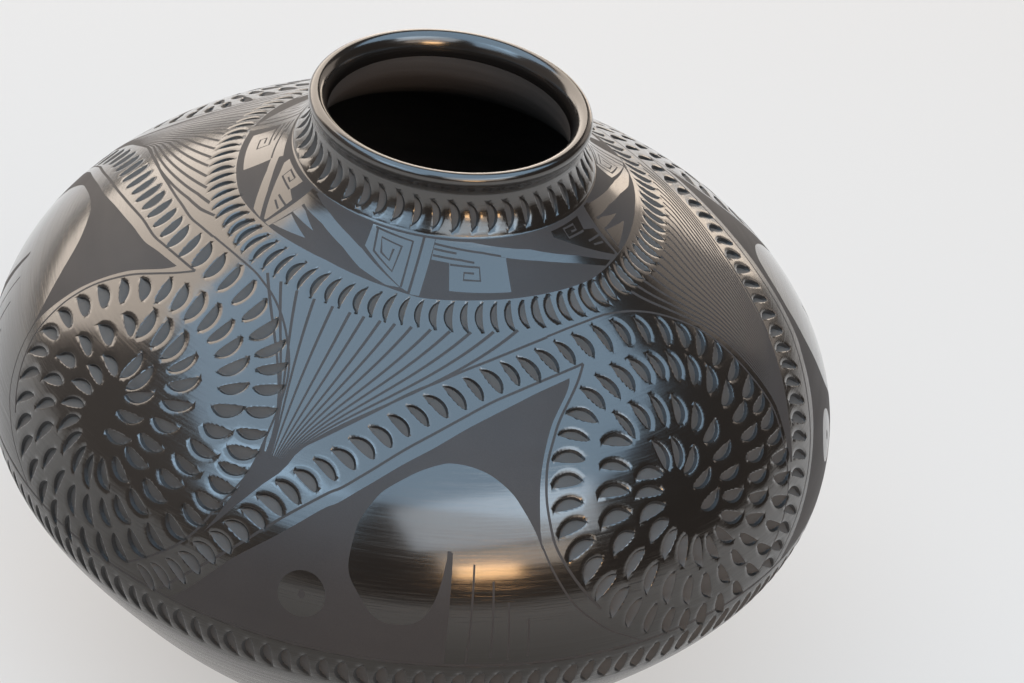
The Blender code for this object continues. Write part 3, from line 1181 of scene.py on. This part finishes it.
def wrap_tree():
    """The tree that lays a flat sheet on the pot: X is the turn, Z the height over the outer line."""
    wanted = [("Line", "Object", None)] + [(label, "Material", None) for label in FINISH_LABELS]
    tree, bench, wires = tree_inputs("wrap_on_the_pot", wanted)
    place = bench.node("GeometryNodeInputPosition")
    turn = bench.node("ShaderNodeSeparateXYZ", {}, {"Vector": place}, out="X")
    height = turn.also("Z")
    along = bench.node("GeometryNodeInputNamedAttribute", {"data_type": "FLOAT"}, {"Name": "run"})
    line = bench.node("GeometryNodeObjectInfo", {}, {"Object": wires["Line"]}, out="Geometry")
    sampled = bench.node(
        "GeometryNodeSampleCurve", {"mode": "LENGTH"}, {"Curves": line, "Length": along}, out="Position"
    )
    on_line = bench.node("ShaderNodeSeparateXYZ", {}, {"Vector": sampled}, out="X")
    slant = bench.node("ShaderNodeSeparateXYZ", {}, {"Vector": sampled.also("Tangent")}, out="X")
    radius = on_line - height * slant.also("Z")
    level = on_line.also("Z") + height * slant
    cosine = bench.node("ShaderNodeMath", {"operation": "COSINE"}, {0: turn})
    sine = bench.node("ShaderNodeMath", {"operation": "SINE"}, {0: turn})
    spot = bench.node("ShaderNodeCombineXYZ", {}, {"X": radius * cosine, "Y": radius * sine, "Z": level})
    shape = bench.node("GeometryNodeSetPosition", {}, {"Geometry": wires["Geometry"], "Position": spot})
    shape = bench.node("GeometryNodeRealizeInstances", {}, {"Geometry": shape})
    finish = bench.node("GeometryNodeInputNamedAttribute", {"data_type": "INT"}, {"Name": "finish"})
    for number, label in enumerate(FINISH_LABELS):
        chosen = bench.node(
            "FunctionNodeCompare", {"data_type": "INT", "operation": "EQUAL"}, {2: finish, 3: number}
        )
        shape = bench.node(
            "GeometryNodeSetMaterial", {}, {"Geometry": shape, "Selection": chosen, "Material": wires[label]}
        )
    bench.node("NodeGroupOutput", {}, {"Geometry": shape})
    return tree


WRAP_TREE = wrap_tree()


def line_object(name, points):
    """A curve that the wrapping follows, from points (radius, height) in millimetres."""
    curve = bpy.data.curves.new(name, "CURVE")
    curve.dimensions = "3D"
    spline = curve.splines.new("POLY")
    spline.points.add(len(points) - 1)
    for point, (radius, height) in zip(spline.points, points):
        point.co = (radius / 1000, 0, height / 1000, 1)
    holder = bpy.data.objects.new(name, curve)
    bpy.context.scene.collection.objects.link(holder)
    return holder


def finished(name, mesh, uvs, normals):
    """A finished piece of a mesh, with its bake map and its own normals."""
    layer = mesh.uv_layers.new(name="OFBake")
    layer.data.foreach_set("uv", np.asarray(uvs, np.float32).ravel())
    mesh.shade_smooth()
    mesh.normals_split_custom_set(np.asarray(normals).tolist())
    piece = bpy.data.objects.new(name, mesh)
    bpy.context.scene.collection.objects.link(piece)
    return piece


def wrapped(name, line, turns, runs, heights, faces, finishes):
    """The mesh of a flat sheet laid on the pot."""
    sheet = bpy.data.meshes.new(name + "_flat")
    sheet.from_pydata(np.stack([turns, -runs / 1000, heights / 1000], 1).tolist(), [], faces)
    give(sheet, "run", "FLOAT", "POINT", (runs - NECK_TOP) / 1000)
    give(sheet, "finish", "INT", "FACE", finishes)
    mesh = run_tree(name, sheet, WRAP_TREE, {"Line": line, **dict(zip(FINISH_LABELS, FINISHES))})
    for label in ("run", "finish"):
        mesh.attributes.remove(mesh.attributes[label])
    return mesh


def wall_ways(turns, runs):
    """The ways out of the wall, round the pot and down the line."""
    down_r, down_z = (np.interp(runs, run, way_down[:, k]) for k in (0, 1))
    cosine, sine = np.cos(turns), np.sin(turns)
    out = np.stack([-down_z * cosine, -down_z * sine, down_r], -1)
    across = np.stack([-sine, cosine, np.zeros_like(sine)], -1)
    down = np.stack([down_r * cosine, down_r * sine, down_z], -1)
    return unit(out), across, unit(down)


def carved_normals(corners):
    """Normals at the corners of faces of the sheet, each read a little way into its own face."""
    step_in = 0.12
    step_aside = 0.05
    radii = radius_at(run_of(corners[..., 1]))
    toward = corners.mean(1, keepdims=True) - corners
    reach = np.linalg.norm(toward, axis=-1)
    step = np.minimum(step_in / radii, reach * 0.5)
    probe = (corners + toward / reach[..., None] * step[..., None]).reshape(-1, 2)
    aside = (step_aside / radii).reshape(-1, 1)
    east, north = aside * (1, 0), aside * (0, 1)
    climb_across = (carved(probe - east) - carved(probe + east)) / (2 * step_aside)
    climb_down = (carved(probe + north) - carved(probe - north)) / (2 * step_aside)
    out, across, down = wall_ways(corners[..., 0].reshape(-1), run_of(corners[..., 1]).reshape(-1))
    normals = unit(out - climb_across[:, None] * across - climb_down[:, None] * down)
    return normals.reshape(corners.shape[:2] + (3,))


def closed_cut(spots):
    """For each point of a sheet, the one that it becomes when the sheet's two cut edges meet."""
    left = np.where(np.abs(spots[:, 0] + math.pi) < ON_LINE)[0]
    right = np.where(np.abs(spots[:, 0] - math.pi) < ON_LINE)[0]
    becomes = np.arange(len(spots))
    for k in right:
        gap = np.abs(spots[left, 1] - spots[k, 1])
        if gap.min() < SAME_HEIGHT:
            becomes[k] = left[np.argmin(gap)]
    return becomes


def circle_at(y, spots, becomes):
    """The points of a seam circle in order round the pot."""
    on_circle = np.where((np.abs(spots[:, 1] - y) < ON_LINE) & (becomes == np.arange(len(spots))))[0]
    return on_circle[np.argsort(spots[on_circle, 0])]


def inside_sheet(turns_top, turns_foot, y_top, y_foot):
    """The inside of a coil as a flat sheet, plain but for the points that its seam circles share."""
    per_strip = 9
    columns = np.linspace(-math.pi, math.pi, per_strip * STRIPS + 1)
    rows = np.linspace(y_top, y_foot, 4)[1:-1]
    drawing = Drawing()
    for turns, y in ((turns_top, y_top), (turns_foot, y_foot)):
        drawing.add(np.stack([np.append(turns, math.pi), np.full(len(turns) + 1, y)], 1))
    first = drawing.used
    for y in rows:
        drawing.add(np.stack([columns, np.full(len(columns), y)], 1), joined=False)
    drawing.edges += [(first + k, first + k + len(columns)) for k in range(0, len(columns), per_strip)]
    spots, faces = triangulated(np.concatenate(drawing.points), drawing.edges, nearness=1e-5)
    area = turned_area(spots, faces)
    no_area = 1e-9
    faces[area > 0] = faces[area > 0][:, ::-1]
    return spots, faces[np.abs(area) > no_area]


def seam_quads(outer_circle, inner_circle):
    """Faces that close a seam from its outer circle to its inner one."""
    quads = [outer_circle, np.roll(outer_circle, -1), np.roll(inner_circle, -1), inner_circle]
    return np.stack(quads, 1)


def sheet_map(corners, y_top, y_foot, low, high):
    """The bake map of a sheet in strips, one above another, between two heights of the map."""
    width = 2 * math.pi / STRIPS
    strip = np.clip(np.floor((corners.mean(1)[:, 0] + math.pi) / width), 0, STRIPS - 1)[:, None]
    u = (corners[..., 0] + math.pi - strip * width) / width
    v = (corners[..., 1] - y_foot) / (y_top - y_foot)
    v = low + (strip + END_MARGIN + (1 - 2 * END_MARGIN) * v) * (high - low) / STRIPS
    return np.stack([SIDE_MARGIN + (1 - 2 * SIDE_MARGIN) * u, v], -1).reshape(-1, 2)


def seam_map(count, low, high):
    """The bake map of a seam's faces, side by side in one thin strip."""
    u = (np.arange(count)[:, None] + (0, 1, 1, 0)) / count
    v = np.broadcast_to((1, 1, 0, 0), u.shape)
    return np.stack([SIDE_MARGIN + (1 - 2 * SIDE_MARGIN) * u, low + (high - low) * v], -1).reshape(-1, 2)


def coil_piece(name, s_top, s_foot, line):
    """One coil: its carved skin, its scraped inside and its two seam faces."""
    y_top, y_foot = flat([(0, s_top), (0, s_foot)])[:, 1]
    chosen = (sheet_middles[:, 1] < y_top) & (sheet_middles[:, 1] > y_foot)
    skin_corners = sheet_spots[sheet_faces[chosen]]
    skin_normals = carved_normals(skin_corners)
    used, skin = np.unique(sheet_faces[chosen], return_inverse=True)
    skin_spots = sheet_spots[used]
    becomes = closed_cut(skin_spots)
    skin = becomes[skin.reshape(-1, 3)]
    good = whole(skin)
    top, foot = (circle_at(y, skin_spots, becomes) for y in (y_top, y_foot))

    inner_spots, inner = inside_sheet(skin_spots[top, 0], skin_spots[foot, 0], y_top, y_foot)
    inner_corners = inner_spots[inner]
    inner_becomes = closed_cut(inner_spots)
    first = len(skin_spots)
    inner_top, inner_foot = (first + circle_at(y, inner_spots, inner_becomes) for y in (y_top, y_foot))
    seam_top = seam_quads(top, inner_top)
    seam_foot = seam_quads(foot, inner_foot)[:, ::-1]

    spots = np.concatenate([skin_spots, inner_spots])
    turns, runs = spots[:, 0], run_of(spots[:, 1])
    heights = np.concatenate([-carved(skin_spots), np.full(len(inner_spots), -WALL_THICKNESS)])
    parts = [skin[good], first + inner_becomes[inner], seam_top, seam_foot]
    wanted = np.unique(np.concatenate([part.ravel() for part in parts]))
    fresh = np.zeros(len(spots), int)
    fresh[wanted] = np.arange(len(wanted))
    faces = [face for part in parts for face in fresh[part].tolist()]
    bare = np.full(len(faces) - good.sum(), INSIDE)
    finishes = np.concatenate([sheet_finish[chosen][good], bare]).astype(np.int32)
    mesh = wrapped(name, line, turns[wanted], runs[wanted], heights[wanted], faces, finishes)

    normals = [
        skin_normals[good],
        -wall_ways(inner_corners[..., 0], run_of(inner_corners[..., 1]))[0],
        -wall_ways(turns[seam_top], runs[seam_top])[2],
        wall_ways(turns[seam_foot], runs[seam_foot])[2],
    ]
    bake_map = [
        sheet_map(skin_corners[good], y_top, y_foot, *SKIN_ON_MAP),
        sheet_map(inner_corners, y_top, y_foot, *INSIDE_ON_MAP),
        seam_map(len(seam_top), *TOP_SEAM_ON_MAP),
        seam_map(len(seam_foot), *FOOT_SEAM_ON_MAP),
    ]
    ways = np.concatenate([part.reshape(-1, 3) for part in normals])
    return finished(name, mesh, np.concatenate(bake_map), ways)


wall_guide = line_object("wall_line", wall)
for node, s_top, s_foot in zip(CARVED_COILS, SEAM_RUNS, SEAM_RUNS[1:]):
    piece = coil_piece("carved_" + node, s_top, s_foot, wall_guide)
    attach(piece, "root")
    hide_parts(node)
bpy.data.objects.remove(wall_guide)

# Underside
# The bowl pressed in the mould and the coils over it, scraped and burnished but left plain. The pot rests on
# a small flat, and the inside keeps the marks of the scraper.
BOWL_SEAM = 230.5
PLAIN_SEAM = 184.7
COIL_STEPS = 13
BOWL_STEPS = 15
SHARP_CORNER = math.radians(38)


def turned_piece(name, profile, finishes):
    """A closed solid turned from points (radius, height) in millimetres, with a finish for each stretch."""
    profile = np.array(profile, float)
    count = len(profile)
    legs = np.linalg.norm(np.roll(profile, -1, 0) - profile, axis=1)
    along = np.concatenate([[0], np.cumsum(legs)])
    ahead = unit(np.roll(profile, -1, 0) - profile)
    behind = np.roll(ahead, 1, 0)
    soft = (ahead * behind).sum(1) > math.cos(SHARP_CORNER)
    between = unit(ahead + behind)
    on_axis = profile[:, 0] < 1e-6
    angles = np.arange(COLUMNS) * 2 * math.pi / COLUMNS
    round_ways = np.stack([np.cos(angles), np.sin(angles)], 1)

    first, vertices = [], []
    for (radius, height), pole in zip(profile / 1000, on_axis):
        first.append(len(vertices))
        if pole:
            vertices.append((0, 0, height))
        else:
            vertices += [(radius * x, radius * y, height) for x, y in round_ways]

    faces, slots, normals, uvs = [], [], [], []
    for k in range(count):
        n = (k + 1) % count
        if on_axis[k] and on_axis[n]:
            continue
        ways = (between[k] if soft[k] else ahead[k], between[n] if soft[n] else ahead[k])
        for c in range(COLUMNS):
            strip = c * STRIPS // COLUMNS
            corners = [(k, 0, 0), (n, 1, 0), (n, 1, 1), (k, 0, 1)]
            corners = [corner for corner in corners if not (on_axis[corner[0]] and corner[2])]
            face = []
            for point, end, side in corners:
                column = 0 if on_axis[point] else (c + side) % COLUMNS
                turn = angles[c] if on_axis[point] else angles[column]
                face.append(first[point] + column)
                along_r, along_z = ways[end]
                normals.append((-along_z * math.cos(turn), -along_z * math.sin(turn), along_r))
                u = (c + side) * STRIPS / COLUMNS - strip
                v = (along[k] + end * legs[k]) / along[-1]
                u = SIDE_MARGIN + (1 - 2 * SIDE_MARGIN) * u
                v = (strip + END_MARGIN + (1 - 2 * END_MARGIN) * v) / STRIPS
                uvs.append((u, v))
            faces.append(face)
            slots.append(finishes[k])

    mesh = bpy.data.meshes.new(name)
    mesh.from_pydata(vertices, [], faces)
    for finish in FINISHES:
        mesh.materials.append(finish)
    mesh.polygons.foreach_set("material_index", slots)
    return finished(name, mesh, uvs, normals)


def wall_between(s_top, s_foot, steps):
    """The outer line of the wall between two runs, and the inner line back up."""
    at = np.linspace(s_top, s_foot, steps + 1)
    outer = np.stack([np.interp(at, run, wall[:, k]) for k in (0, 1)], 1)
    way = unit(np.gradient(outer, axis=0))
    inner = outer + WALL_THICKNESS * np.stack([way[:, 1], -way[:, 0]], 1)
    return outer, inner[::-1]


for node, s_top, s_foot in (
    ("lower_wall_coil_2", LAST_CARVED_SEAM, PLAIN_SEAM),
    ("lower_wall_coil_1", PLAIN_SEAM, BOWL_SEAM),
):
    outer, inner = wall_between(s_top, s_foot, COIL_STEPS)
    finishes = [BURNISHED] * COIL_STEPS + [INSIDE] * (COIL_STEPS + 2)
    piece = turned_piece("burnished_" + node, np.concatenate([outer, inner]), finishes)
    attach(piece, "root")
    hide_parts(node)

outer, inner = wall_between(BOWL_SEAM, FOOT, BOWL_STEPS)
inner[:, 1] = np.maximum(inner[:, 1], WALL_THICKNESS)
profile = np.concatenate([outer, [(0, 0), (0, WALL_THICKNESS)], inner[1:]])
finishes = [BURNISHED] * len(outer) + [INSIDE] * (len(profile) - len(outer))
piece = turned_piece("burnished_base", profile, finishes)
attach(piece, "root")
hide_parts("moulded_base")

# Rim
# The last coil, thinned and turned out a little by the potter's fingers, then burnished over the lip and a
# short way down inside the mouth. The lip is flat on top with soft edges.
RIM_TOP = 199.5
LIP_RADIUS = 43.65
LIP_ROUND = 2.2
FLARE_POINTS = 12
OUTER_ROUND_POINTS = 10
INNER_ROUND_POINTS = 18


def rim_profile():
    """The rim's outline, from inside the mouth up over the lip and down the flare to the neck's waist."""
    lip_foot = RIM_TOP - LIP_ROUND
    lip_top_radius = LIP_RADIUS - LIP_ROUND
    waist_inner_radius = NECK_WAIST_RADIUS - WALL_THICKNESS
    halfway = (WAIST_HEIGHT + lip_foot) / 2
    flare = bezier(
        (NECK_WAIST_RADIUS, WAIST_HEIGHT),
        (NECK_WAIST_RADIUS, halfway),
        (LIP_RADIUS, halfway),
        (LIP_RADIUS, lip_foot),
        FLARE_POINTS,
    )
    corner = np.radians(np.linspace(0, 90, OUTER_ROUND_POINTS))
    outer_round = np.stack(
        [LIP_RADIUS - LIP_ROUND * (1 - np.cos(corner)), lip_foot + LIP_ROUND * np.sin(corner)], 1
    )
    corner = np.radians(np.linspace(90, 180, INNER_ROUND_POINTS))
    inner_round = np.stack(
        [
            lip_top_radius + (lip_top_radius - waist_inner_radius) * np.cos(corner),
            WAIST_HEIGHT + (RIM_TOP - WAIST_HEIGHT) * np.sin(corner),
        ],
        1,
    )
    return np.concatenate([flare[:-1], outer_round[:-1], inner_round])[::-1]


profile = rim_profile()
piece = turned_piece("burnished_rim", profile, [BURNISHED] * (len(profile) - 1) + [INSIDE])
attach(piece, "root")
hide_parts("rim_coil")

# Floor, light and camera
# A floor that is mid-grey to scattered light and pale to the eye, under soft lamps: blue ones over and in
# front of the pot, pale warm ones low in front and behind it, and a small amber one. The room is dim.
FLOOR_REACH = 30
PAPER = (0.48, 0.47, 0.46, 1)
FLOOR_DARK = (0.27, 0.246, 0.225, 1)
FLOOR_LIGHT = (0.295, 0.268, 0.245, 1)
ROOM_LEFT = (0.26, 0.23, 0.21, 1)
ROOM_RIGHT = (0.075, 0.062, 0.052, 1)

room = bpy.data.meshes.new("floor")
room.from_pydata(
    [(x * FLOOR_REACH, y * FLOOR_REACH, 0) for x, y in ((-1, -1), (1, -1), (1, 1), (-1, 1))],
    [],
    [(0, 1, 2, 3)],
)
floor = bpy.data.objects.new("floor", room)
bpy.context.scene.collection.objects.link(floor)
floor_finish, bench, shader, place = new_finish("pale_floor", sheen_index=1.4)
shade = noise(bench, place, scale=3.0, detail=2.0) * 0.4
bench.feed(bench.mixed(shade, FLOOR_DARK, FLOOR_LIGHT), shader.inputs["Base Color"])
shader.inputs["Roughness"].default_value = 0.8
path = bench.node("ShaderNodeLightPath", out="Is Camera Ray")
seen = bench.sum("MINIMUM", path + path.also("Is Glossy Ray") + path.also("Is Transmission Ray"), 1.0)
bench.feed(bench.mixed(seen, (0, 0, 0, 1), PAPER), shader.inputs["Emission Color"])
shader.inputs["Emission Strength"].default_value = 1.0
room.materials.append(floor_finish)

world = bpy.data.worlds.new("room_light")
world.use_nodes = True
bpy.context.scene.world = world
bench = Bench(world.node_tree)
background = world.node_tree.nodes["Background"]
direction = bench.node("ShaderNodeTexCoord", out="Generated")
sideways = bench.node("ShaderNodeSeparateXYZ", {}, {"Vector": direction}, out="X")
to_the_right = bench.node(
    "ShaderNodeMapRange",
    {"interpolation_type": "SMOOTHSTEP"},
    {"Value": sideways, "From Min": -0.9, "From Max": 0.1},
)
bench.feed(bench.mixed(to_the_right, ROOM_LEFT, ROOM_RIGHT), background.inputs["Color"])
background.inputs["Strength"].default_value = 1.0

BLUE = (0.51, 0.77, 1.05)
PALE_BLUE = (0.80, 0.90, 1.0)
PALE_WARM = (1.0, 0.88, 0.76)
AMBER = (1.0, 0.60, 0.28)
EVENING = (1.0, 0.85, 0.70)
CREAM = (1.0, 0.89, 0.78)
SAND = (1.0, 0.88, 0.78)
ON_FLOOR = (0.0, -0.3, 0)
ON_POT = (0, 0, 0.12)
BEHIND_POT = (0, 0, 0.1)


def soft_lamp(name, place, aim, width, height, colour, radiance):
    """A rectangular lamp of this radiance, turned to face a point."""
    data = bpy.data.lights.new(name, "AREA")
    data.shape = "RECTANGLE"
    data.size = width
    data.size_y = height
    data.color = colour
    data.energy = radiance * width * height * math.pi
    lamp = bpy.data.objects.new(name, data)
    bpy.context.scene.collection.objects.link(lamp)
    facing = (Vector(place) - Vector(aim)).to_track_quat("Z", "Y").to_matrix().to_4x4()
    lamp.matrix_world = Matrix.Translation(place) @ facing
    lamp.visible_camera = False


soft_lamp("overhead_lamp", (0.0, -0.3, 1.5), ON_FLOOR, 2.8, 1.8, BLUE, radiance=2.25)
soft_lamp("left_front_lamp", (-0.66, -0.95, 1.06), ON_POT, 0.95, 0.62, BLUE, radiance=2.25)
soft_lamp("front_lamp", (0.62, -0.98, 1.14), ON_POT, 1.3, 0.56, PALE_BLUE, radiance=2.7)
soft_lamp("horizon_lamp", (0.70, -1.18, 0.74), ON_POT, 0.9, 0.26, PALE_WARM, radiance=2.3)
soft_lamp("glow_lamp", (0.60, -1.32, 0.60), ON_POT, 0.40, 0.18, AMBER, radiance=12.0)
soft_lamp("right_lamp", (0.85, 1.15, 0.60), ON_POT, 0.8, 0.7, SAND, radiance=0.6)
soft_lamp("back_lamp", (0.30, 1.5, 0.28), BEHIND_POT, 1.2, 0.36, EVENING, radiance=2.0)
soft_lamp("back_left_lamp", (-0.80, 1.32, 0.92), BEHIND_POT, 2.4, 1.5, CREAM, radiance=2.4)

# The photograph's own camera, in metres and radians; its focal length and width are in pixels
CAMERA_PLACE = (0, -0.915157, 0.748360)
YAW = 0.0322599
PITCH = 0.6060068
ROLL = 0.1565761
FOCAL_PIXELS = 3500
PHOTO_WIDTH_PIXELS = 1024
SENSOR_WIDTH = 36

camera_data = bpy.data.cameras.new("camera")
camera_data.sensor_width = SENSOR_WIDTH
camera_data.lens = FOCAL_PIXELS * SENSOR_WIDTH / PHOTO_WIDTH_PIXELS
camera_data.clip_end = 100
camera = bpy.data.objects.new("camera", camera_data)
bpy.context.scene.collection.objects.link(camera)
view_ahead = Vector((math.sin(YAW) * math.cos(PITCH), math.cos(YAW) * math.cos(PITCH), -math.sin(PITCH)))
level_right = Vector((math.cos(YAW), -math.sin(YAW), 0))
level_up = level_right.cross(view_ahead)
view_right = math.cos(ROLL) * level_right + math.sin(ROLL) * level_up
view_up = math.cos(ROLL) * level_up - math.sin(ROLL) * level_right
turn = Matrix((view_right, view_up, -view_ahead)).transposed()
camera.matrix_world = Matrix.Translation(CAMERA_PLACE) @ turn.to_4x4()
bpy.context.scene.camera = camera
bpy.context.scene.view_settings.view_transform = "Standard"
